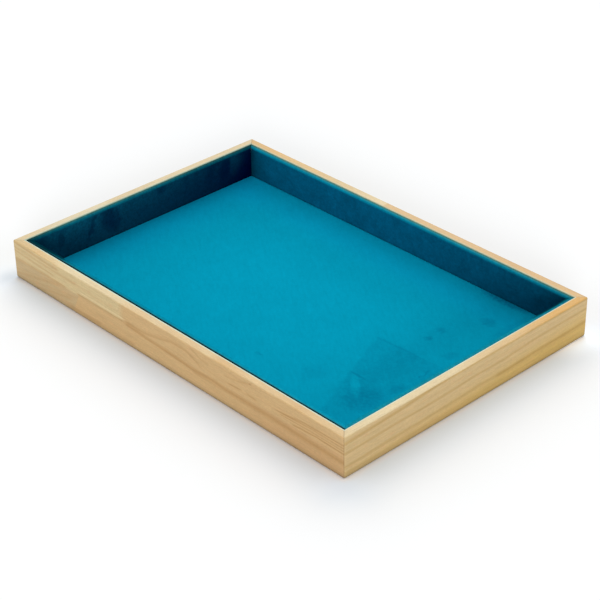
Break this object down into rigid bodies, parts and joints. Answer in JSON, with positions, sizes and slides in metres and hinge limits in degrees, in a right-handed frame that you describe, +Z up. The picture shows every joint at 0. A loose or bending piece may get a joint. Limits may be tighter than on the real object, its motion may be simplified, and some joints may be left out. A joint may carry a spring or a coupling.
{
  "type": "display tray",
  "caption": "Shallow rectangular display tray: mitred pine frame, padded suede-lined walls and a flat suede floor for laying out small goods.",
  "frame": {"origin": "centre of the underside of the frame, on the surface that the tray stands on", "axes": "+X along the long side, towards the right rail; +Y across the tray, towards the back rail; +Z up, out of the open top"},
  "size_m": [0.35, 0.239, 0.0317],
  "materials": {
    "pine": "sanded pale pine with straight grain, thin clear matt finish",
    "wall_suede": "brushed teal suede with a short nap, on padded strips",
    "floor_suede": "brushed teal suede with a short nap, stretched flat",
    "greyboard": "dense uncoated greyboard",
    "foam": "thin open-cell foam sheet",
    "hardboard": "smooth brown hardboard",
    "steel": "bright steel wire"
  },
  "bodies": {
    "root": {"front_rail": "pine", "back_rail": "pine", "left_rail": "pine", "right_rail": "pine", "base_panel": "hardboard", "base_pins": "steel", "corner_pins": "steel", "front_wall_board": "greyboard", "front_wall_foam": "foam", "front_wall_suede": "wall_suede", "back_wall_board": "greyboard", "back_wall_foam": "foam", "back_wall_suede": "wall_suede", "left_wall_board": "greyboard", "left_wall_foam": "foam", "left_wall_suede": "wall_suede", "right_wall_board": "greyboard", "right_wall_foam": "foam", "right_wall_suede": "wall_suede", "floor_board": "greyboard", "floor_suede": "floor_suede"}
  },
  "joints": []
}
